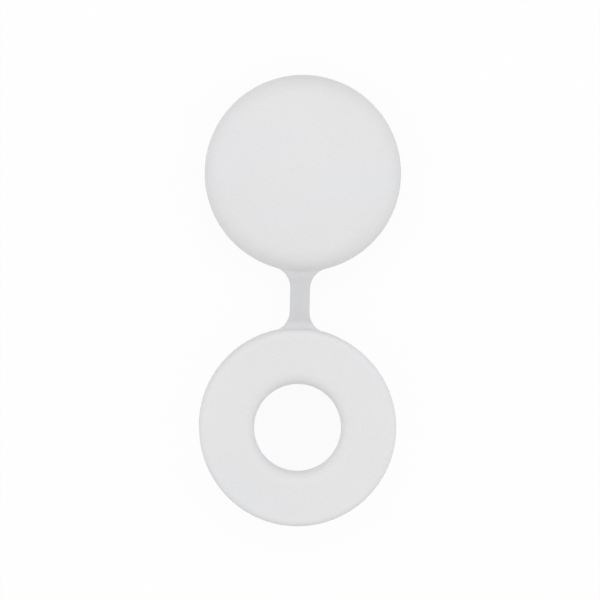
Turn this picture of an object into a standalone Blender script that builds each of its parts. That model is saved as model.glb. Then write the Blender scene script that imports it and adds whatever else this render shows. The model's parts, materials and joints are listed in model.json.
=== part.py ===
"""Fold-over screw cover: a holed washer, a domed cap and the short strap between them, moulded in one.

The moulding lies open with its dome up, as it comes out of its mould and as it rests on a table.
The screw goes through the washer and its head sits in the cup below. The cap then swings under on
the strap until its plug ring snaps into the mouth of that cup. Units are metres, +Z is up, and the
origin is on the table, under the middle of the piece, with the washer at -Y and the cap at +Y.
"""
import math

import bmesh
import bpy

# Washer: a cup with a hole in its floor. The floor is the face that lies on the panel.
WASHER_RADIUS = 0.0060
WASHER_HEIGHT = 0.0035
HOLE_RADIUS = 0.00265
HOLE_ROUNDING = 0.0008
SEAT_THICKNESS = 0.0010
SEAT_RADIUS = 0.0039
SEAT_ROUNDING = 0.0002
SEAT_EDGE_ROUNDING = 0.00015
MOUTH_RADIUS = 0.0046
FACE_ROUNDING = 0.0004
RIM_ROUNDING = 0.0002

# Snap: a bead round the plug ring springs into a groove round the cup
PLUG_CLEARANCE = 0.0001
SNAP_BITE = 0.00005
SNAP_DEPTH = 0.0007
SNAP_HALF_HEIGHT = 0.0003

# Cap: a domed lid with a plug ring under it
CAP_RADIUS = 0.0060
CAP_BAND = 0.0006
SHOULDER_RADIUS = 0.0016
DOME_RISE = 0.0021
CAP_WALL = 0.0010
LEDGE_ROUNDING = 0.00015
PLUG_HEIGHT = 0.0012
PLUG_LEAD_IN = 0.0002
PLUG_INNER_RADIUS = 0.00375
PLUG_TIP_ROUNDING = 0.0001
PLUG_ROOT_ROUNDING = 0.00008
HOLLOW_RADIUS = 0.0030
HOLLOW_ROUNDING = 0.0003

# Strap: the flexible hinge, which widens and thickens where it meets either body
STRAP_LENGTH = 0.0035
STRAP_WIDTH = 0.0012
STRAP_THICKNESS = 0.0005
STRAP_LIFT = 0.0001
STRAP_FLARE = 0.0013
STRAP_COVE = 0.0005
STRAP_EDGE = 0.00012
STRAP_BITE = 0.00005
STRAP_ROOT = 0.0003

# Fineness of the round shapes
TURN_STEPS = 64
CORNER_STEP_DEGREES = 24
SNAP_STEPS = 6
CROWN_STEPS = 7
SHOULDER_STEPS = 7
FLOOR_STEPS = 4
FLARE_STEPS = 8
EDGE_STEPS = 3
ACROSS_STEPS = 6
MERGE_DISTANCE = 0.000001

# Places that follow from the sizes
OVERALL_LENGTH = 2 * WASHER_RADIUS + STRAP_LENGTH + 2 * CAP_RADIUS
WASHER_Y = WASHER_RADIUS - OVERALL_LENGTH / 2
CAP_Y = OVERALL_LENGTH / 2 - CAP_RADIUS
LEDGE_Z = PLUG_HEIGHT
BAND_TOP = LEDGE_Z + CAP_BAND
STRAP_BOTTOM = LEDGE_Z + STRAP_LIFT
STRAP_TOP = STRAP_BOTTOM + STRAP_THICKNESS

WHITE = (0.80, 0.80, 0.81, 1.0)
ROUGHNESS = 0.45


def clear_scene():
    """Removes whatever the file starts with."""
    for item in list(bpy.data.objects):
        bpy.data.objects.remove(item, do_unlink=True)


def new_collection(name):
    """A collection linked to the scene."""
    collection = bpy.data.collections.new(name)
    bpy.context.scene.collection.children.link(collection)
    return collection


def white_plastic():
    """Satin white polypropylene."""
    material = bpy.data.materials.new("white_plastic")
    material.use_nodes = True
    shader = material.node_tree.nodes["Principled BSDF"]
    shader.inputs["Base Color"].default_value = WHITE
    shader.inputs["Roughness"].default_value = ROUGHNESS
    shader.inputs["Metallic"].default_value = 0.0
    return material


def arc(centre_r, centre_z, radius, start, end, steps):
    """Points along a circle in the turning plane, between two angles in degrees."""
    points = []
    for i in range(steps + 1):
        angle = math.radians(start + (end - start) * i / steps)
        points.append((centre_r + radius * math.cos(angle), centre_z + radius * math.sin(angle)))
    return points


def round_corner(before, corner, after, rounding):
    """Points of the arc that touches both lines of a corner."""
    back = math.atan2(before[1] - corner[1], before[0] - corner[0])
    ahead = math.atan2(after[1] - corner[1], after[0] - corner[0])
    opening = (ahead - back + math.pi) % (2 * math.pi) - math.pi
    middle = back + opening / 2
    distance = rounding / math.sin(abs(opening) / 2)
    centre_r = corner[0] + distance * math.cos(middle)
    centre_z = corner[1] + distance * math.sin(middle)
    turn = math.copysign(math.pi - abs(opening), -opening)
    first = back - math.copysign(math.pi / 2, opening)
    steps = max(1, round(abs(math.degrees(turn)) / CORNER_STEP_DEGREES))
    return arc(centre_r, centre_z, rounding, math.degrees(first), math.degrees(first + turn), steps)


def rounded_outline(corners, closed):
    """Profile points from (radius, height, rounding) corners. A rounding of 0 keeps the corner."""
    points = []
    for i, corner in enumerate(corners):
        at_end = not closed and i in (0, len(corners) - 1)
        if at_end or corner[2] == 0:
            points.append(corner[:2])
        else:
            points += round_corner(corners[i - 1], corner, corners[(i + 1) % len(corners)], corner[2])
    return points


def snap_bump(base_radius, middle_z, upwards):
    """Corners of the smooth swelling that makes both the bead and its groove."""
    height = PLUG_CLEARANCE + SNAP_BITE
    direction = 1 if upwards else -1
    corners = []
    for i in range(SNAP_STEPS + 1):
        along = 2 * i / SNAP_STEPS - 1
        swell = height * (1 + math.cos(math.pi * along)) / 2
        corners.append((base_radius + swell, middle_z + direction * SNAP_HALF_HEIGHT * along, 0))
    return corners


def washer_profile():
    """Section of the washer: outer side downwards, rim, snap groove, cup wall, seat and hole."""
    seat_z = WASHER_HEIGHT - SEAT_THICKNESS
    corners = [
        (WASHER_RADIUS, WASHER_HEIGHT, FACE_ROUNDING),
        (WASHER_RADIUS, 0, RIM_ROUNDING),
        (MOUTH_RADIUS, 0, RIM_ROUNDING),
    ]
    corners += snap_bump(MOUTH_RADIUS, SNAP_DEPTH, True)
    corners += [
        (SEAT_RADIUS, seat_z, SEAT_ROUNDING),
        (HOLE_RADIUS, seat_z, SEAT_EDGE_ROUNDING),
        (HOLE_RADIUS, WASHER_HEIGHT, HOLE_ROUNDING),
    ]
    return rounded_outline(corners, True)


def crown_radius():
    """Radius of the crown that rises by DOME_RISE above the band and runs into the shoulder."""
    reach = CAP_RADIUS - SHOULDER_RADIUS
    return (reach ** 2 + DOME_RISE ** 2 - SHOULDER_RADIUS ** 2) / (2 * (DOME_RISE - SHOULDER_RADIUS))


def cap_profile():
    """Section of the cap: crown, shoulder and band downwards, ledge, plug ring and domed hollow."""
    outer = crown_radius()
    inner = outer - CAP_WALL
    centre_z = BAND_TOP + DOME_RISE - outer
    reach = CAP_RADIUS - SHOULDER_RADIUS
    tangent = math.degrees(math.acos(reach / (outer - SHOULDER_RADIUS)))
    crown = arc(0, centre_z, outer, 90, tangent, CROWN_STEPS)
    shoulder = arc(reach, BAND_TOP, SHOULDER_RADIUS, tangent, 0, SHOULDER_STEPS)

    plug_radius = MOUTH_RADIUS - PLUG_CLEARANCE
    corners = [
        (CAP_RADIUS, BAND_TOP, 0),
        (CAP_RADIUS, LEDGE_Z, LEDGE_ROUNDING),
        (plug_radius, LEDGE_Z, PLUG_ROOT_ROUNDING),
    ]
    corners += snap_bump(plug_radius, LEDGE_Z - SNAP_DEPTH, False)
    corners += [
        (plug_radius - PLUG_LEAD_IN, 0, PLUG_TIP_ROUNDING),
        (PLUG_INNER_RADIUS, 0, PLUG_TIP_ROUNDING),
    ]
    for i in range(FLOOR_STEPS + 1):
        radius = HOLLOW_RADIUS * (1 - i / FLOOR_STEPS)
        height = centre_z + math.sqrt(inner ** 2 - radius ** 2)
        corners.append((radius, height, HOLLOW_ROUNDING if i == 0 else 0))
    return crown + shoulder[1:-1] + rounded_outline(corners, False)


def turned(name, profile, closed):
    """An object that turns a profile, drawn in the XZ plane, once round its own Z axis."""
    mesh = bpy.data.meshes.new(name)
    edges = [(i, i + 1) for i in range(len(profile) - 1)]
    if closed:
        edges.append((len(profile) - 1, 0))
    mesh.from_pydata([(r, 0, z) for r, z in profile], edges, [])
    item = bpy.data.objects.new(name, mesh)
    screw = item.modifiers.new("turn", "SCREW")
    screw.axis = "Z"
    screw.angle = 2 * math.pi
    screw.steps = TURN_STEPS
    screw.render_steps = TURN_STEPS
    screw.use_merge_vertices = True
    screw.merge_threshold = MERGE_DISTANCE
    screw.use_smooth_shade = True
    return item


def cove(distance, start, reach):
    """How much the strap thickens on an arc that starts this far from a body's axis and has this reach."""
    lean = min(max(start - distance, 0), reach)
    return STRAP_COVE - math.sqrt(STRAP_COVE ** 2 - lean ** 2)


def washer_cove(x, y):
    """The cove up or down to the washer's upright wall."""
    start = WASHER_RADIUS - STRAP_BITE + STRAP_COVE
    return cove(math.hypot(x, y - WASHER_Y), start, STRAP_COVE)


def cap_cove(x, y):
    """The cove up to the cap, which touches the round of the shoulder or the upright band under it."""
    height = max(STRAP_TOP + STRAP_COVE - BAND_TOP, 0)
    apart = SHOULDER_RADIUS - STRAP_BITE + STRAP_COVE
    across = math.sqrt(apart ** 2 - height ** 2)
    start = CAP_RADIUS - SHOULDER_RADIUS + across
    return cove(math.hypot(x, y - CAP_Y), start, STRAP_COVE * across / apart)


def strap_top(x, y):
    """Height of the strap's upper face, with a cove up to each body."""
    return STRAP_TOP + washer_cove(x, y) + cap_cove(x, y)


def strap_bottom(x, y):
    """Height of the lower face, with a cove at the washer only, as the cap's ledge has to close."""
    return STRAP_BOTTOM - washer_cove(x, y)


def strap_section(y, half_width):
    """One cross-section of the strap: a rectangle with rounded edges, as a ring of points."""
    inner = half_width - STRAP_EDGE
    ring = []
    for face, height, start in (("top", strap_top, 0), ("bottom", strap_bottom, 180)):
        side = 1 if face == "top" else -1
        for i in range(EDGE_STEPS + 1):
            angle = math.radians(start + 90 * i / EDGE_STEPS)
            x = side * inner + STRAP_EDGE * math.cos(angle)
            ring.append((x, y, height(x, y) - side * STRAP_EDGE + STRAP_EDGE * math.sin(angle)))
        for i in range(1, ACROSS_STEPS):
            x = side * inner * (1 - 2 * i / ACROSS_STEPS)
            ring.append((x, y, height(x, y)))
        for i in range(EDGE_STEPS + 1):
            angle = math.radians(start + 90 + 90 * i / EDGE_STEPS)
            x = -side * inner + STRAP_EDGE * math.cos(angle)
            ring.append((x, y, height(x, y) - side * STRAP_EDGE + STRAP_EDGE * math.sin(angle)))
    return ring


def flare_stations(centre_y, body_radius, towards):
    """(y, half width) where the strap widens on an arc into a round body, from its straight part in."""
    across = STRAP_WIDTH / 2 + STRAP_FLARE
    reach = body_radius - STRAP_BITE + STRAP_FLARE
    start_y = centre_y - towards * math.sqrt(reach ** 2 - across ** 2)
    sweep = math.acos(across / reach)
    stations = []
    for i in range(FLARE_STEPS + 1):
        angle = sweep * i / FLARE_STEPS
        y = start_y + towards * STRAP_FLARE * math.sin(angle)
        stations.append((y, across - STRAP_FLARE * math.cos(angle)))
    last_y, last_half = stations[-1]
    stations.append((last_y + towards * STRAP_ROOT, last_half))
    return stations


def strap_body():
    """The strap, lofted through its sections from inside the washer's wall to inside the cap's."""
    stations = flare_stations(WASHER_Y, WASHER_RADIUS, -1)[::-1]
    stations += flare_stations(CAP_Y, CAP_RADIUS, 1)
    bm = bmesh.new()
    rings = [[bm.verts.new(point) for point in strap_section(*station)] for station in stations]
    count = len(rings[0])
    for near, far in zip(rings, rings[1:]):
        for i in range(count):
            j = (i + 1) % count
            bm.faces.new((near[i], near[j], far[j], far[i]))
    bm.faces.new(rings[0])
    bm.faces.new(rings[-1])
    bmesh.ops.recalc_face_normals(bm, faces=bm.faces)
    mesh = bpy.data.meshes.new("strap")
    bm.to_mesh(mesh)
    bm.free()
    mesh.shade_smooth()
    return bpy.data.objects.new("strap", mesh)


def join(body, other):
    """Fuses another body into the moulding."""
    fuse = body.modifiers.new("join_" + other.name, "BOOLEAN")
    fuse.operation = "UNION"
    fuse.solver = "EXACT"
    fuse.object = other
    other.hide_render = True
    other.display_type = "WIRE"


def build():
    """Turns the washer and the cap, lofts the strap and makes one body of the three."""
    clear_scene()
    parts = new_collection("screw_cover_cap")
    joined = new_collection("joined_bodies")

    moulding = turned("screw_cover_cap", washer_profile(), True)
    moulding.location = (0, WASHER_Y, 0)
    moulding.data.materials.append(white_plastic())
    parts.objects.link(moulding)

    cap = turned("cap", cap_profile(), False)
    cap.location = (0, CAP_Y, 0)
    strap = strap_body()
    for body in (strap, cap):
        joined.objects.link(body)
        join(moulding, body)


build()
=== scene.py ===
"""Looks of a fold-over screw cover: washer, strap and domed cap, one white moulding that lies dome up.

Lengths are in metres. Heights, called Z, count from the surface that the open cover lies on.
"""
import json
import math

import bmesh
import bpy
from mathutils import Matrix, Vector


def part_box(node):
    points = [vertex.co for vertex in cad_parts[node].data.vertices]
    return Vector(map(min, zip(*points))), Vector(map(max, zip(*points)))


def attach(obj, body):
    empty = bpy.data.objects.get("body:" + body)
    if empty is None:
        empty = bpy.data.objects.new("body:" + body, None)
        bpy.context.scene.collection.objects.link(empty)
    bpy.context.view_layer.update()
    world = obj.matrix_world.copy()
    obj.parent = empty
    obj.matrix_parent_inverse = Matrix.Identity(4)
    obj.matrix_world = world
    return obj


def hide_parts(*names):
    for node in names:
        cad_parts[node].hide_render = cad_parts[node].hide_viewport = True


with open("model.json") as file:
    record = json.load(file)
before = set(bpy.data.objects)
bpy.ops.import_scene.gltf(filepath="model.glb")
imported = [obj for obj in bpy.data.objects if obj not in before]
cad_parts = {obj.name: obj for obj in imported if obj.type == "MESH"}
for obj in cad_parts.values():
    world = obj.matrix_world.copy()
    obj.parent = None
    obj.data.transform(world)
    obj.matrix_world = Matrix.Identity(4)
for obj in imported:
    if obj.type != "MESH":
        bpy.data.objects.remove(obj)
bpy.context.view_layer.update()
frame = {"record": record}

# Places that the frame gives
NODE = "screw_cover_cap"
LOW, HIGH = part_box(NODE)
FACES = {mount["name"]: mount["pos_m"] for mount in frame["record"]["mounts"]}
RADIUS = HIGH.x
WASHER_Y = LOW.y + RADIUS
CAP_Y = HIGH.y - RADIUS
PANEL_FACE_Z = FACES["panel_face"][2]
SEAT_Z = FACES["screw_head_seat"][2]
RIM_Z = FACES["washer_rim"][2]
DOME_TOP_Z = HIGH.z

# Washer section
HOLE_RADIUS = 0.00265
HOLE_ROUNDING = 0.0008
SEAT_RADIUS = 0.0039
SEAT_ROUNDING = 0.0002
SEAT_EDGE_ROUNDING = 0.00015
MOUTH_RADIUS = 0.0046
FACE_ROUNDING = 0.0004
RIM_ROUNDING = 0.0002

# Snap bead on the plug ring, and its groove in the cup
PLUG_CLEARANCE = 0.0001
SNAP_HEIGHT = 0.00015
SNAP_DEPTH = 0.0007
SNAP_HALF_HEIGHT = 0.0003

# Cap section
LEDGE_Z = 0.0012
BAND_TOP_Z = 0.0018
SHOULDER_RADIUS = 0.0016
CAP_WALL = 0.0010
LEDGE_ROUNDING = 0.00015
PLUG_LEAD_IN = 0.0002
PLUG_INNER_RADIUS = 0.00375
PLUG_TIP_ROUNDING = 0.0001
PLUG_ROOT_ROUNDING = 0.00008
HOLLOW_RADIUS = 0.0030
HOLLOW_ROUNDING = 0.0003

# Strap
STRAP_BOTTOM_Z = 0.0013
STRAP_TOP_Z = 0.0018
STRAP_WIDTH = 0.0012
STRAP_FLARE = 0.0013
STRAP_COVE = 0.0005
STRAP_EDGE = 0.00012
STRAP_BITE = 0.00001
STRAP_ROOT = 0.0003

# Fineness of the mesh
TURNING_STEPS = 256
CORNER_STEPS = 7
LONGEST_FACET = 0.0003
SNAP_STEPS = 14
CROWN_STEPS = 20
SHOULDER_STEPS = 24
CEILING_STEPS = 12
FLARE_STEPS = 28
STRAIGHT_STEPS = 10
EDGE_STEPS = 5
ACROSS_STEPS = 24
CLOSING_DISTANCE = 0.0000001
SLIVER_DISTANCE = 0.000001
SHARP_DEGREES = 38

# Plastic: the record's white, moulded in a tool with a fine satin finish
PLASTIC_WHITE = frame["record"]["materials"][0]["base_color"]
PLASTIC_ROUGHNESS = 0.47
ROUGHNESS_SWING = 0.06
PLASTIC_SHINE = 0.42
GLOW_WEIGHT = 0.12
GLOW_DEPTH = 0.0005
GLOW_SPREAD = (1.0, 0.95, 0.9)
NOISE_ROUGHNESS = 0.55
NOISE_MIDDLE = 0.5
FINE_DETAIL = 2.0
SLOW_DETAIL = 1.0
GRAIN_SIZE = 0.00011
GRAIN_DEPTH = 0.0000035
GRAIN_RANGE = (0.3, 0.7)
GRAIN_SHADE = 0.02
SWELL_SIZE = 0.0016
SWELL_DEPTH = 0.0000045
TONE_SIZE = 0.006
TONE_SWING = 0.022
WARMTH_SHIFT = (0.13, 0.07, 0.19)
MARK_PITCH = 0.00022
MARK_DEPTH = 0.0000006
MARK_DRIFT = 5.0
PARTING_Z = 0.0015
PARTING_WIDTH = 0.00003
PARTING_DEPTH = 0.000006

# Painted shade on the strap, between the two round bodies: the share of the colour that it keeps, and the
# length over which it fades to that
STRAP_PAINTED_SHADE = 0.86
STRAP_PAINTED_SHADE_BLEND = 0.0006

# Photo: pixels of the 600 x 600 frame, where Y runs down, and its scale at this cover
PHOTO_DOME = Vector((312.5, 474.2))
PHOTO_HOLE = Vector((311.5, 517.3))
PHOTO_BELOW_CAMERA = Vector((290, 480))
METRES_PER_PIXEL = 0.000353

# Camera: its height above the cover, and the share of the frame that the cover's length takes
CAMERA_HEIGHT = 0.227
CAMERA_CLIP_START = 0.01
SENSOR_WIDTH = 0.036
COVER_SHARE = 0.75
MILLIMETRES = 1000

# Studio: a level is the radiance of a white face that this source alone lights, a face turned down for
# the ground and up for the others
SKY_LEVEL = 0.85
GROUND_LEVEL = 0.44
HORIZON_BLEND = 0.2
SIDE_LAMP_LEVEL = 0.035
SIDE_LAMP_SIZE = 0.2
LEFT_LAMP_PLACE = Vector((-0.34, 0.04, 0.10))
RIGHT_LAMP_PLACE = Vector((0.34, 0.0, 0.10))
TOP_LAMP_LEVEL = 0.055
TOP_LAMP_SIZE = 0.26
TOP_LAMP_PLACE = Vector((0.0, 0.22, 0.34))
TABLE_SIZE = 3.0
TABLE_Z = -0.00002
TABLE_WHITE = (0.95, 0.95, 0.95, 1.0)
TABLE_SHADOW_SHARE = 0.08
TABLE_GRAIN_SIZE = 0.0004
TABLE_GRAIN_DEPTH = 0.00001
TABLE_SWELL_SIZE = 0.008
WHITE = (1.0, 1.0, 1.0, 1.0)


def add_node(tree, kind, inputs=None, **options):
    """Adds a node, sets its options, then links or fills its inputs by name or place."""
    node = tree.nodes.new(kind)
    for name, value in options.items():
        setattr(node, name, value)
    for key, value in (inputs or {}).items():
        if isinstance(value, bpy.types.NodeSocket):
            tree.links.new(value, node.inputs[key])
        else:
            node.inputs[key].default_value = value
    return node


def new_group(kind, name, inputs, outputs):
    """A node group with named sockets: the tree, its inputs by name and its output node."""
    tree = bpy.data.node_groups.new(name, kind)
    for socket_name, socket_type in inputs.items():
        tree.interface.new_socket(socket_name, in_out="INPUT", socket_type=socket_type)
    for socket_name, socket_type in outputs.items():
        tree.interface.new_socket(socket_name, in_out="OUTPUT", socket_type=socket_type)
    given = tree.nodes.new("NodeGroupInput")
    result = tree.nodes.new("NodeGroupOutput")
    return tree, given.outputs, result


def maths(tree, operation, *values):
    """The result of a sum of sockets or values in a shader or geometry tree."""
    return add_node(tree, "ShaderNodeMath", dict(enumerate(values)), operation=operation).outputs[0]


def whole(tree, operation, first, second):
    """The result of a whole-number sum of two sockets or values in a geometry tree."""
    return add_node(tree, "FunctionNodeIntegerMath", {0: first, 1: second}, operation=operation).outputs[0]


def arc(centre_r, centre_z, radius, start, end, steps):
    """Points along a circle in the turning plane, between two angles in degrees."""
    points = []
    for i in range(steps + 1):
        angle = math.radians(start + (end - start) * i / steps)
        points.append((centre_r + radius * math.cos(angle), centre_z + radius * math.sin(angle)))
    return points


def snap_bump(base_radius, middle_z, upwards):
    """The smooth swelling that makes both the bead and its groove."""
    direction = 1 if upwards else -1
    corners = []
    for i in range(SNAP_STEPS + 1):
        along = 2 * i / SNAP_STEPS - 1
        swell = SNAP_HEIGHT * (1 + math.cos(math.pi * along)) / 2
        corners.append((base_radius + swell, middle_z + direction * SNAP_HALF_HEIGHT * along, 0))
    return corners


def washer_section():
    """(radius, height, rounding) corners of the washer: side, rim, groove, cup, seat and hole."""
    corners = [
        (RADIUS, PANEL_FACE_Z, FACE_ROUNDING),
        (RADIUS, RIM_Z, RIM_ROUNDING),
        (MOUTH_RADIUS, RIM_Z, RIM_ROUNDING),
    ]
    corners += snap_bump(MOUTH_RADIUS, SNAP_DEPTH, True)
    corners += [
        (SEAT_RADIUS, SEAT_Z, SEAT_ROUNDING),
        (HOLE_RADIUS, SEAT_Z, SEAT_EDGE_ROUNDING),
        (HOLE_RADIUS, PANEL_FACE_Z, HOLE_ROUNDING),
    ]
    return corners


def cap_section():
    """(radius, height, rounding) corners of the cap: crown, shoulder, band, ledge, plug ring and hollow."""
    rise = DOME_TOP_Z - BAND_TOP_Z
    reach = RADIUS - SHOULDER_RADIUS
    outer = (reach ** 2 + rise ** 2 - SHOULDER_RADIUS ** 2) / (2 * (rise - SHOULDER_RADIUS))
    inner = outer - CAP_WALL
    centre_z = DOME_TOP_Z - outer
    tangent = math.degrees(math.acos(reach / (outer - SHOULDER_RADIUS)))
    crown = arc(0, centre_z, outer, 90, tangent, CROWN_STEPS)
    shoulder = arc(reach, BAND_TOP_Z, SHOULDER_RADIUS, tangent, 0, SHOULDER_STEPS)
    corners = [(r, z, 0) for r, z in crown + shoulder[1:]]

    plug_radius = MOUTH_RADIUS - PLUG_CLEARANCE
    corners += [
        (RADIUS, LEDGE_Z, LEDGE_ROUNDING),
        (plug_radius, LEDGE_Z, PLUG_ROOT_ROUNDING),
    ]
    corners += snap_bump(plug_radius, LEDGE_Z - SNAP_DEPTH, False)
    corners += [
        (plug_radius - PLUG_LEAD_IN, RIM_Z, PLUG_TIP_ROUNDING),
        (PLUG_INNER_RADIUS, RIM_Z, PLUG_TIP_ROUNDING),
        (HOLLOW_RADIUS, centre_z + math.sqrt(inner ** 2 - HOLLOW_RADIUS ** 2), HOLLOW_ROUNDING),
    ]
    ceiling_radius = HOLLOW_RADIUS - 2 * HOLLOW_ROUNDING
    for i in range(CEILING_STEPS + 1):
        radius = ceiling_radius * (1 - i / CEILING_STEPS)
        corners.append((radius, centre_z + math.sqrt(inner ** 2 - radius ** 2), 0))
    return corners


def section_object(name, corners, closed):
    """An object whose mesh is a section in the XZ plane, with each corner's rounding as an attribute."""
    mesh = bpy.data.meshes.new(name)
    edges = [(i, i + 1) for i in range(len(corners) - 1)]
    if closed:
        edges.append((len(corners) - 1, 0))
    mesh.from_pydata([(r, 0, z) for r, z, _ in corners], edges, [])
    rounding = mesh.attributes.new("rounding", "FLOAT", "POINT")
    rounding.data.foreach_set("value", [corner[2] for corner in corners])
    return bpy.data.objects.new(name, mesh)


def cove(distance, start, reach):
    """How much the strap thickens on an arc that starts this far from a body's axis and has this reach."""
    lean = min(max(start - distance, 0), reach)
    return STRAP_COVE - math.sqrt(STRAP_COVE ** 2 - lean ** 2)


def washer_cove(x, y):
    """The cove up or down to the washer's upright wall."""
    start = RADIUS - STRAP_BITE + STRAP_COVE
    return cove(math.hypot(x, y - WASHER_Y), start, STRAP_COVE)


def cap_cove(x, y):
    """The cove up to the cap, which touches the round of the shoulder."""
    height = STRAP_TOP_Z + STRAP_COVE - BAND_TOP_Z
    apart = SHOULDER_RADIUS - STRAP_BITE + STRAP_COVE
    across = math.sqrt(apart ** 2 - height ** 2)
    start = RADIUS - SHOULDER_RADIUS + across
    return cove(math.hypot(x, y - CAP_Y), start, STRAP_COVE * across / apart)


def strap_top(x, y):
    """Height of the strap's upper face, with a cove up to each body."""
    return STRAP_TOP_Z + washer_cove(x, y) + cap_cove(x, y)


def strap_bottom(x, y):
    """Height of the lower face, with a cove at the washer only, as the cap's ledge has to close."""
    return STRAP_BOTTOM_Z - washer_cove(x, y)


def strap_ring(y, half_width):
    """One cross-section of the strap: a rectangle with rounded edges, as a ring of points."""
    inner = half_width - STRAP_EDGE
    ring = []
    for side, height in ((1, strap_top), (-1, strap_bottom)):
        start = 0 if side == 1 else 180
        for quarter in (0, 1):
            edge_x = side * inner * (1 - 2 * quarter)
            for i in range(EDGE_STEPS + 1):
                angle = math.radians(start + 90 * (quarter + i / EDGE_STEPS))
                x = edge_x + STRAP_EDGE * math.cos(angle)
                ring.append((x, y, height(x, y) + STRAP_EDGE * (math.sin(angle) - side)))
            if quarter == 0:
                for i in range(1, ACROSS_STEPS):
                    x = edge_x * (1 - 2 * i / ACROSS_STEPS)
                    ring.append((x, y, height(x, y)))
    return ring


def flare_stations(centre_y, towards):
    """(y, half width) where the strap widens on an arc into a round body, from its straight part in."""
    across = STRAP_WIDTH / 2 + STRAP_FLARE
    reach = RADIUS - STRAP_BITE + STRAP_FLARE
    start_y = centre_y - towards * math.sqrt(reach ** 2 - across ** 2)
    sweep = math.acos(across / reach)
    stations = []
    for i in range(FLARE_STEPS + 1):
        angle = sweep * i / FLARE_STEPS
        y = start_y + towards * STRAP_FLARE * math.sin(angle)
        stations.append((y, across - STRAP_FLARE * math.cos(angle)))
    last_y, last_half = stations[-1]
    stations.append((last_y + towards * STRAP_ROOT, last_half))
    return stations


def strap_object():
    """The strap, lofted through its sections from inside the washer's wall to inside the cap's."""
    near = flare_stations(WASHER_Y, -1)[::-1]
    far = flare_stations(CAP_Y, 1)
    first_y, half_width = near[-1]
    length = far[0][0] - first_y
    middle = [(first_y + length * i / STRAIGHT_STEPS, half_width) for i in range(1, STRAIGHT_STEPS)]
    bm = bmesh.new()
    rings = []
    for y, half in near + middle + far:
        rings.append([bm.verts.new(point) for point in strap_ring(y, half)])
    count = len(rings[0])
    for this, following in zip(rings, rings[1:]):
        for i in range(count):
            j = (i + 1) % count
            bm.faces.new((this[i], this[j], following[j], following[i]))
    bm.faces.new(rings[0])
    bm.faces.new(rings[-1])
    bmesh.ops.recalc_face_normals(bm, faces=bm.faces)
    mesh = bpy.data.meshes.new("strap")
    bm.to_mesh(mesh)
    bm.free()
    return bpy.data.objects.new("strap", mesh)


def turned_body_group():
    """Geometry nodes that round a section's corners, split its long stretches and turn it round an axis."""
    tree, given, result = new_group("GeometryNodeTree", "turned_body", {
        "Section": "NodeSocketGeometry",
        "Closed Section": "NodeSocketBool",
        "Corner Steps": "NodeSocketInt",
        "Longest Facet": "NodeSocketFloat",
        "Turning Steps": "NodeSocketInt",
        "Closing Distance": "NodeSocketFloat",
        "Axis Y": "NodeSocketFloat",
    }, {"Body": "NodeSocketGeometry"})
    outline = add_node(tree, "GeometryNodeMeshToCurve", {"Mesh": given["Section"]})
    rounding = add_node(tree, "GeometryNodeInputNamedAttribute", {"Name": "rounding"}, data_type="FLOAT")
    rounded = add_node(tree, "GeometryNodeFilletCurve", {
        "Curve": outline.outputs["Curve"],
        "Count": given["Corner Steps"],
        "Radius": rounding.outputs["Attribute"],
    }, mode="POLY")

    index = add_node(tree, "GeometryNodeInputIndex").outputs["Index"]
    position = add_node(tree, "GeometryNodeInputPosition").outputs["Position"]
    rounded_size = add_node(tree, "GeometryNodeAttributeDomainSize", {
        "Geometry": rounded.outputs["Curve"],
    }, component="CURVE")
    next_index = whole(tree, "MODULO", whole(tree, "ADD", index, 1), rounded_size.outputs["Point Count"])
    next_position = add_node(tree, "GeometryNodeFieldAtIndex", {
        "Index": next_index,
        "Value": position,
    }, data_type="FLOAT_VECTOR", domain="POINT")
    span = add_node(tree, "ShaderNodeVectorMath", {
        0: position,
        1: next_position.outputs["Value"],
    }, operation="DISTANCE")
    split = add_node(tree, "GeometryNodeSubdivideCurve", {
        "Curve": rounded.outputs["Curve"],
        "Cuts": maths(tree, "DIVIDE", span.outputs["Value"], given["Longest Facet"]),
    })
    line = add_node(tree, "GeometryNodeCurveToMesh", {"Curve": split.outputs["Curve"]})

    line_size = add_node(tree, "GeometryNodeAttributeDomainSize", {
        "Geometry": line.outputs["Mesh"],
    }, component="MESH")
    points = line_size.outputs["Point Count"]
    columns = whole(tree, "ADD", points, given["Closed Section"])
    rows = whole(tree, "ADD", given["Turning Steps"], 1)
    grid = add_node(tree, "GeometryNodeMeshGrid", {"Vertices X": columns, "Vertices Y": rows})
    column = whole(tree, "MODULO", whole(tree, "DIVIDE_FLOOR", index, rows), points)
    row = whole(tree, "MODULO", index, rows)
    on_section = add_node(tree, "GeometryNodeSampleIndex", {
        "Geometry": line.outputs["Mesh"],
        "Index": column,
        "Value": position,
    }, data_type="FLOAT_VECTOR", domain="POINT")
    turned = add_node(tree, "ShaderNodeVectorRotate", {
        "Vector": on_section.outputs["Value"],
        "Angle": maths(tree, "MULTIPLY", maths(tree, "DIVIDE", row, given["Turning Steps"]), 2 * math.pi),
    }, rotation_type="Z_AXIS")
    placed = add_node(tree, "GeometryNodeSetPosition", {
        "Geometry": grid.outputs["Mesh"],
        "Position": turned.outputs["Vector"],
    })
    closed = add_node(tree, "GeometryNodeMergeByDistance", {
        "Geometry": placed.outputs["Geometry"],
        "Distance": given["Closing Distance"],
    })
    axis = add_node(tree, "ShaderNodeCombineXYZ", {"Y": given["Axis Y"]})
    moved = add_node(tree, "GeometryNodeTransform", {
        "Geometry": closed.outputs["Geometry"],
        "Translation": axis.outputs["Vector"],
    })
    tree.links.new(moved.outputs["Geometry"], result.inputs["Body"])
    return tree


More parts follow.
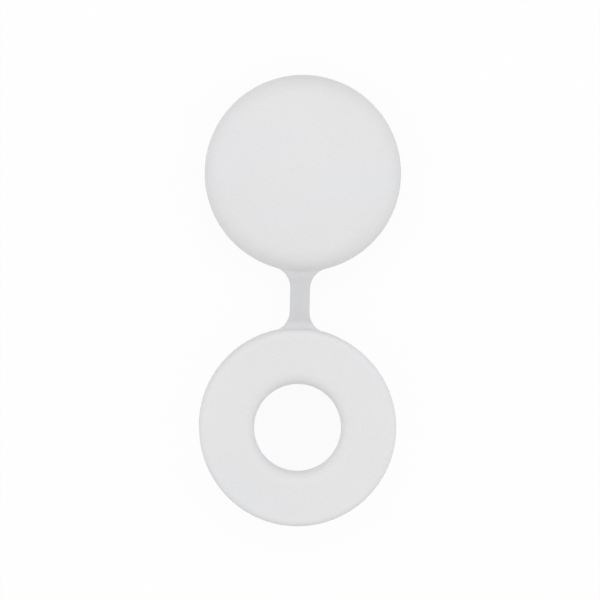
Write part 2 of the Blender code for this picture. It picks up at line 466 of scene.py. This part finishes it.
def moulding_tree():
    """Geometry nodes of the whole moulding: two turned bodies and the strap, joined into one skin."""
    tree, given, result = new_group("GeometryNodeTree", "moulding", {
        "Washer Section": "NodeSocketObject",
        "Cap Section": "NodeSocketObject",
        "Strap": "NodeSocketObject",
        "Washer Y": "NodeSocketFloat",
        "Cap Y": "NodeSocketFloat",
        "Corner Steps": "NodeSocketInt",
        "Longest Facet": "NodeSocketFloat",
        "Turning Steps": "NodeSocketInt",
        "Closing Distance": "NodeSocketFloat",
        "Sliver Distance": "NodeSocketFloat",
        "Plastic": "NodeSocketMaterial",
    }, {"Geometry": "NodeSocketGeometry"})
    turned_body = turned_body_group()
    union = add_node(tree, "GeometryNodeMeshBoolean", operation="UNION", solver="EXACT")
    for section, axis, closed in (("Washer Section", "Washer Y", True), ("Cap Section", "Cap Y", False)):
        drawn = add_node(tree, "GeometryNodeObjectInfo", {"Object": given[section]})
        body = add_node(tree, "GeometryNodeGroup", {
            "Section": drawn.outputs["Geometry"],
            "Closed Section": closed,
            "Corner Steps": given["Corner Steps"],
            "Longest Facet": given["Longest Facet"],
            "Turning Steps": given["Turning Steps"],
            "Closing Distance": given["Closing Distance"],
            "Axis Y": given[axis],
        }, node_tree=turned_body)
        tree.links.new(body.outputs["Body"], union.inputs["Mesh 2"])
    strap = add_node(tree, "GeometryNodeObjectInfo", {"Object": given["Strap"]})
    tree.links.new(strap.outputs["Geometry"], union.inputs["Mesh 2"])
    clean = add_node(tree, "GeometryNodeMergeByDistance", {
        "Geometry": union.outputs["Mesh"],
        "Distance": given["Sliver Distance"],
    })
    smooth = add_node(tree, "GeometryNodeSetShadeSmooth", {"Geometry": clean.outputs["Geometry"]})
    real = add_node(tree, "GeometryNodeRealizeInstances", {"Geometry": smooth.outputs["Geometry"]})
    finished = add_node(tree, "GeometryNodeSetMaterial", {
        "Geometry": real.outputs["Geometry"],
        "Material": given["Plastic"],
    })
    tree.links.new(finished.outputs["Geometry"], result.inputs["Geometry"])
    return tree


def moulding(plastic):
    """The finished moulding, as a plain mesh that stands for the frame's solid."""
    drawings = bpy.data.collections.new("drawings")
    bpy.context.scene.collection.children.link(drawings)
    washer = section_object("washer_section", washer_section(), True)
    cap = section_object("cap_section", cap_section(), False)
    strap = strap_object()
    for drawing in (washer, cap, strap):
        drawings.objects.link(drawing)

    maker = bpy.data.objects.new("moulding_maker", bpy.data.meshes.new("moulding_maker"))
    drawings.objects.link(maker)
    modifier = maker.modifiers.new("moulding", "NODES")
    modifier.node_group = moulding_tree()
    values = {
        "Washer Section": washer,
        "Cap Section": cap,
        "Strap": strap,
        "Washer Y": WASHER_Y,
        "Cap Y": CAP_Y,
        "Corner Steps": CORNER_STEPS,
        "Longest Facet": LONGEST_FACET,
        "Turning Steps": TURNING_STEPS,
        "Closing Distance": CLOSING_DISTANCE,
        "Sliver Distance": SLIVER_DISTANCE,
        "Plastic": plastic,
    }
    for socket in modifier.node_group.interface.items_tree:
        if socket.in_out == "INPUT":
            modifier[socket.identifier] = values[socket.name]

    shapes = bpy.context.evaluated_depsgraph_get()
    mesh = bpy.data.meshes.new_from_object(maker.evaluated_get(shapes), depsgraph=shapes)
    for used in (maker, washer, cap, strap):
        bpy.data.objects.remove(used)
    bpy.data.collections.remove(drawings)
    mesh.name = "screw_cover"
    mesh.set_sharp_from_angle(angle=math.radians(SHARP_DEGREES))
    cover = bpy.data.objects.new("screw_cover", mesh)
    bpy.context.scene.collection.objects.link(cover)
    return cover


def noise(tree, vector, size, detail):
    """Smooth noise round its middle value, with blotches about one size across."""
    texture = add_node(tree, "ShaderNodeTexNoise", {
        "Vector": vector,
        "Scale": maths(tree, "DIVIDE", 1.0, size),
        "Detail": detail,
        "Roughness": NOISE_ROUGHNESS,
    })
    return texture.outputs["Fac"]


def fine_grain_group():
    """Height of a matt tool finish: fine grain over gentle swells."""
    tree, given, result = new_group("ShaderNodeTree", "fine_grain", {
        "Vector": "NodeSocketVector",
        "Grain Size": "NodeSocketFloat",
        "Grain Depth": "NodeSocketFloat",
        "Swell Size": "NodeSocketFloat",
        "Swell Depth": "NodeSocketFloat",
    }, {"Height": "NodeSocketFloat", "Grain": "NodeSocketFloat"})
    grain = noise(tree, given["Vector"], given["Grain Size"], FINE_DETAIL)
    swell = noise(tree, given["Vector"], given["Swell Size"], SLOW_DETAIL)
    fine = maths(tree, "MULTIPLY", grain, given["Grain Depth"])
    height = maths(tree, "MULTIPLY_ADD", swell, given["Swell Depth"], fine)
    tree.links.new(height, result.inputs["Height"])
    tree.links.new(grain, result.inputs["Grain"])
    return tree


def slow_tone_group():
    """A colour that drifts a little lighter, darker, warmer and cooler over the surface."""
    tree, given, result = new_group("ShaderNodeTree", "slow_tone", {
        "Vector": "NodeSocketVector",
        "Color": "NodeSocketColor",
        "Size": "NodeSocketFloat",
        "Swing": "NodeSocketFloat",
    }, {"Color": "NodeSocketColor"})
    tone = noise(tree, given["Vector"], given["Size"], FINE_DETAIL)
    elsewhere = add_node(tree, "ShaderNodeVectorMath", {
        0: given["Vector"],
        1: WARMTH_SHIFT,
    }, operation="ADD")
    warmth = noise(tree, elsewhere.outputs[0], given["Size"], SLOW_DETAIL)
    swing = maths(tree, "MULTIPLY", given["Swing"], 2.0)
    shade = maths(tree, "MULTIPLY_ADD", maths(tree, "SUBTRACT", tone, NOISE_MIDDLE), swing, 1.0)
    lean = maths(tree, "MULTIPLY", maths(tree, "SUBTRACT", warmth, NOISE_MIDDLE), given["Swing"])
    gains = add_node(tree, "ShaderNodeCombineXYZ", {
        "X": maths(tree, "ADD", shade, lean),
        "Y": shade,
        "Z": maths(tree, "SUBTRACT", shade, lean),
    })
    tinted = add_node(tree, "ShaderNodeVectorMath", {
        0: given["Color"],
        1: gains.outputs[0],
    }, operation="MULTIPLY")
    tree.links.new(tinted.outputs[0], result.inputs["Color"])
    return tree


def axis_distance(tree, vector, axis_y):
    """How far a point is from the upright axis of a round body."""
    place = add_node(tree, "ShaderNodeSeparateXYZ", {0: vector})
    along = maths(tree, "SUBTRACT", place.outputs["Y"], axis_y)
    across = maths(tree, "MULTIPLY", place.outputs["X"], place.outputs["X"])
    return maths(tree, "SQRT", maths(tree, "MULTIPLY_ADD", along, along, across))


def turning_marks_group():
    """Height of the faint rings that the turned tool leaves round both axes, some deeper than others."""
    tree, given, result = new_group("ShaderNodeTree", "turning_marks", {
        "Vector": "NodeSocketVector",
        "Washer Y": "NodeSocketFloat",
        "Cap Y": "NodeSocketFloat",
        "Pitch": "NodeSocketFloat",
        "Depth": "NodeSocketFloat",
    }, {"Height": "NodeSocketFloat"})
    from_washer = axis_distance(tree, given["Vector"], given["Washer Y"])
    from_cap = axis_distance(tree, given["Vector"], given["Cap Y"])
    radius = maths(tree, "MINIMUM", from_washer, from_cap)
    turns = maths(tree, "MULTIPLY", maths(tree, "DIVIDE", radius, given["Pitch"]), 2 * math.pi)
    ring = maths(tree, "SINE", turns)
    uneven = add_node(tree, "ShaderNodeTexNoise", {
        "W": maths(tree, "DIVIDE", turns, MARK_DRIFT),
        "Scale": 1.0,
    }, noise_dimensions="1D")
    rings = maths(tree, "MULTIPLY", ring, uneven.outputs["Fac"])
    height = maths(tree, "MULTIPLY", rings, given["Depth"])
    tree.links.new(height, result.inputs["Height"])
    return tree


def parting_line_group():
    """Height of the hair line where the two halves of the tool meet, at one level round the sides."""
    tree, given, result = new_group("ShaderNodeTree", "parting_line", {
        "Vector": "NodeSocketVector",
        "Level": "NodeSocketFloat",
        "Width": "NodeSocketFloat",
        "Depth": "NodeSocketFloat",
    }, {"Height": "NodeSocketFloat"})
    place = add_node(tree, "ShaderNodeSeparateXYZ", {0: given["Vector"]})
    off = maths(tree, "ABSOLUTE", maths(tree, "SUBTRACT", place.outputs["Z"], given["Level"]))
    share_off = maths(tree, "DIVIDE", off, given["Width"])
    near = maths(tree, "MAXIMUM", maths(tree, "SUBTRACT", 1.0, share_off), 0.0)
    height = maths(tree, "MULTIPLY", maths(tree, "MULTIPLY", near, near), given["Depth"])
    tree.links.new(height, result.inputs["Height"])
    return tree


def painted_strap_shade_group():
    """Painted shade: a colour made dimmer where the moulding is only the strap, between the two round
    bodies, standing in for the shade that falls there.
    """
    tree, given, result = new_group("ShaderNodeTree", "painted_strap_shade", {
        "Vector": "NodeSocketVector",
        "Color": "NodeSocketColor",
        "Washer Y": "NodeSocketFloat",
        "Cap Y": "NodeSocketFloat",
        "Radius": "NodeSocketFloat",
        "Blend": "NodeSocketFloat",
        "Shade": "NodeSocketFloat",
    }, {"Color": "NodeSocketColor"})
    from_washer = axis_distance(tree, given["Vector"], given["Washer Y"])
    from_cap = axis_distance(tree, given["Vector"], given["Cap Y"])
    outside = maths(tree, "SUBTRACT", maths(tree, "MINIMUM", from_washer, from_cap), given["Radius"])
    shade = add_node(tree, "ShaderNodeMapRange", {
        "Value": outside,
        "From Min": 0.0,
        "From Max": given["Blend"],
        "To Min": 1.0,
        "To Max": given["Shade"],
    }, interpolation_type="SMOOTHSTEP")
    dimmed = add_node(tree, "ShaderNodeVectorMath", {
        0: given["Color"],
        "Scale": shade.outputs["Result"],
    }, operation="SCALE")
    tree.links.new(dimmed.outputs[0], result.inputs["Color"])
    return tree


def swung(tree, grain, middle, swing):
    """A value that swings with the grain, this far to both sides of its middle."""
    lowest, highest = GRAIN_RANGE
    return add_node(tree, "ShaderNodeMapRange", {
        "Value": grain,
        "From Min": lowest,
        "From Max": highest,
        "To Min": middle - swing,
        "To Max": middle + swing,
    }).outputs["Result"]


def white_plastic(grain_group):
    """Satin white polypropylene as it leaves its tool, with painted shade on the strap between the two
    bodies.
    """
    material = bpy.data.materials.new("white_plastic")
    material.use_nodes = True
    tree = material.node_tree
    shader = tree.nodes["Principled BSDF"]
    shader.inputs["Specular IOR Level"].default_value = PLASTIC_SHINE
    shader.inputs["Subsurface Weight"].default_value = GLOW_WEIGHT
    shader.inputs["Subsurface Radius"].default_value = GLOW_SPREAD
    shader.inputs["Subsurface Scale"].default_value = GLOW_DEPTH
    place = add_node(tree, "ShaderNodeTexCoord").outputs["Object"]

    tone = add_node(tree, "ShaderNodeGroup", {
        "Vector": place,
        "Color": (*PLASTIC_WHITE, 1.0),
        "Size": TONE_SIZE,
        "Swing": TONE_SWING,
    }, node_tree=slow_tone_group())
    # Painted shade: the strap's colour is dimmed between the two bodies, in place of the shade that falls
    # there
    strap_shaded = add_node(tree, "ShaderNodeGroup", {
        "Vector": place,
        "Color": tone.outputs["Color"],
        "Washer Y": WASHER_Y,
        "Cap Y": CAP_Y,
        "Radius": RADIUS,
        "Blend": STRAP_PAINTED_SHADE_BLEND,
        "Shade": STRAP_PAINTED_SHADE,
    }, node_tree=painted_strap_shade_group())
    grain = add_node(tree, "ShaderNodeGroup", {
        "Vector": place,
        "Grain Size": GRAIN_SIZE,
        "Grain Depth": GRAIN_DEPTH,
        "Swell Size": SWELL_SIZE,
        "Swell Depth": SWELL_DEPTH,
    }, node_tree=grain_group)
    speckled = add_node(tree, "ShaderNodeVectorMath", {
        0: strap_shaded.outputs["Color"],
        "Scale": swung(tree, grain.outputs["Grain"], 1, GRAIN_SHADE),
    }, operation="SCALE")
    tree.links.new(speckled.outputs[0], shader.inputs["Base Color"])
    roughness = swung(tree, grain.outputs["Grain"], PLASTIC_ROUGHNESS, ROUGHNESS_SWING)
    tree.links.new(roughness, shader.inputs["Roughness"])

    marks = add_node(tree, "ShaderNodeGroup", {
        "Vector": place,
        "Washer Y": WASHER_Y,
        "Cap Y": CAP_Y,
        "Pitch": MARK_PITCH,
        "Depth": MARK_DEPTH,
    }, node_tree=turning_marks_group())
    parting = add_node(tree, "ShaderNodeGroup", {
        "Vector": place,
        "Level": PARTING_Z,
        "Width": PARTING_WIDTH,
        "Depth": PARTING_DEPTH,
    }, node_tree=parting_line_group())
    lines = maths(tree, "ADD", marks.outputs["Height"], parting.outputs["Height"])
    height = maths(tree, "ADD", grain.outputs["Height"], lines)
    relief = add_node(tree, "ShaderNodeBump", {"Height": height, "Distance": 1.0, "Strength": 1.0})
    tree.links.new(relief.outputs["Normal"], shader.inputs["Normal"])
    return material


def shown_rays(tree):
    """1 on the rays that show the background: from the camera, off a gloss and through glass."""
    path = add_node(tree, "ShaderNodeLightPath")
    either = maths(tree, "MAXIMUM", path.outputs["Is Camera Ray"], path.outputs["Is Glossy Ray"])
    return maths(tree, "MAXIMUM", either, path.outputs["Is Transmission Ray"])


def table_white(grain_group):
    """A pale matt table top: white to the eye, with a faint shadow, and clear from below."""
    material = bpy.data.materials.new("table_white")
    material.use_nodes = True
    tree = material.node_tree
    tree.nodes.clear()
    grain = add_node(tree, "ShaderNodeGroup", {
        "Vector": add_node(tree, "ShaderNodeTexCoord").outputs["Object"],
        "Grain Size": TABLE_GRAIN_SIZE,
        "Grain Depth": TABLE_GRAIN_DEPTH,
        "Swell Size": TABLE_SWELL_SIZE,
        "Swell Depth": TABLE_GRAIN_DEPTH,
    }, node_tree=grain_group)
    relief = add_node(tree, "ShaderNodeBump", {"Height": grain.outputs["Height"], "Distance": 1.0})
    matt = add_node(tree, "ShaderNodeBsdfDiffuse", {
        "Color": TABLE_WHITE,
        "Normal": relief.outputs["Normal"],
    })
    white = add_node(tree, "ShaderNodeEmission", {"Color": WHITE, "Strength": 1.0})
    seen = add_node(tree, "ShaderNodeMixShader", {
        0: TABLE_SHADOW_SHARE,
        1: white.outputs[0],
        2: matt.outputs[0],
    })
    clear = add_node(tree, "ShaderNodeBsdfTransparent")
    from_below = add_node(tree, "ShaderNodeNewGeometry").outputs["Backfacing"]
    surface = add_node(tree, "ShaderNodeMixShader", {
        0: maths(tree, "MULTIPLY", shown_rays(tree), maths(tree, "SUBTRACT", 1.0, from_below)),
        1: clear.outputs[0],
        2: seen.outputs[0],
    })
    output = add_node(tree, "ShaderNodeOutputMaterial")
    tree.links.new(surface.outputs[0], output.inputs["Surface"])
    return material


def table(grain_group):
    """The table that the cover lies on."""
    bm = bmesh.new()
    bmesh.ops.create_grid(bm, x_segments=1, y_segments=1, size=TABLE_SIZE / 2)
    bmesh.ops.translate(bm, verts=bm.verts, vec=(0, 0, TABLE_Z))
    mesh = bpy.data.meshes.new("table")
    bm.to_mesh(mesh)
    bm.free()
    mesh.materials.append(table_white(grain_group))
    top = bpy.data.objects.new("table", mesh)
    bpy.context.scene.collection.objects.link(top)
    return top


def studio_world():
    """Even light, paler from above than from below, in front of a white background."""
    world = bpy.data.worlds.new("studio")
    bpy.context.scene.world = world
    world.use_nodes = True
    tree = world.node_tree
    tree.nodes.clear()
    direction = add_node(tree, "ShaderNodeTexCoord").outputs["Generated"]
    upward = add_node(tree, "ShaderNodeSeparateXYZ", {0: direction}).outputs["Z"]
    level = add_node(tree, "ShaderNodeMapRange", {
        "Value": upward,
        "From Min": -HORIZON_BLEND,
        "From Max": HORIZON_BLEND,
        "To Min": GROUND_LEVEL,
        "To Max": SKY_LEVEL,
    })
    light = add_node(tree, "ShaderNodeBackground", {"Color": WHITE, "Strength": level.outputs["Result"]})
    white = add_node(tree, "ShaderNodeBackground", {"Color": WHITE, "Strength": 1.0})
    mixed = add_node(tree, "ShaderNodeMixShader", {
        0: shown_rays(tree),
        1: light.outputs[0],
        2: white.outputs[0],
    })
    output = add_node(tree, "ShaderNodeOutputWorld")
    tree.links.new(mixed.outputs[0], output.inputs["Surface"])


def softbox(name, place, size, level, in_gloss):
    """A large soft lamp that faces the cover and may gleam on it.

    A white face turned up sends back level = energy * facing / (pi * distance) ** 2.
    """
    facing = place.normalized().z
    light = bpy.data.lights.new(name, "AREA")
    light.shape = "DISK"
    light.size = size
    light.energy = level * math.pi ** 2 * place.length_squared / facing
    lamp = bpy.data.objects.new(name, light)
    lamp.location = place
    lamp.visible_glossy = in_gloss
    lamp.rotation_euler = (-place).to_track_quat("-Z", "Y").to_euler()
    bpy.context.scene.collection.objects.link(lamp)


def photo_camera():
    """The camera of the photo, aimed at this cover and drawn in on it."""
    along = PHOTO_DOME - PHOTO_HOLE
    centre = (PHOTO_DOME + PHOTO_HOLE) / 2
    aside = (PHOTO_BELOW_CAMERA - centre) * METRES_PER_PIXEL
    lean = math.atan2(along.x, -along.y)
    aim = Vector((0, 0, PANEL_FACE_Z / 2))
    place = aim + Vector((aside.x, -aside.y, CAMERA_HEIGHT))
    back = (place - aim).normalized()
    right = Vector((-math.sin(lean), math.cos(lean), 0)).cross(back).normalized()
    data = bpy.data.cameras.new("camera")
    data.sensor_width = MILLIMETRES * SENSOR_WIDTH
    data.lens = MILLIMETRES * SENSOR_WIDTH * CAMERA_HEIGHT * COVER_SHARE / (HIGH.y - LOW.y)
    data.clip_start = CAMERA_CLIP_START
    camera = bpy.data.objects.new("camera", data)
    turn = Matrix((right, back.cross(right), back)).transposed().to_4x4()
    camera.matrix_world = Matrix.Translation(place) @ turn
    bpy.context.scene.collection.objects.link(camera)
    bpy.context.scene.camera = camera


fine_grain = fine_grain_group()
cover = moulding(white_plastic(fine_grain))
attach(cover, "root")
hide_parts(NODE)
table(fine_grain)
studio_world()
softbox("left_lamp", LEFT_LAMP_PLACE, SIDE_LAMP_SIZE, SIDE_LAMP_LEVEL, False)
softbox("right_lamp", RIGHT_LAMP_PLACE, SIDE_LAMP_SIZE, SIDE_LAMP_LEVEL, False)
softbox("top_lamp", TOP_LAMP_PLACE, TOP_LAMP_SIZE, TOP_LAMP_LEVEL, True)
photo_camera()
bpy.context.scene.view_settings.view_transform = "Standard"
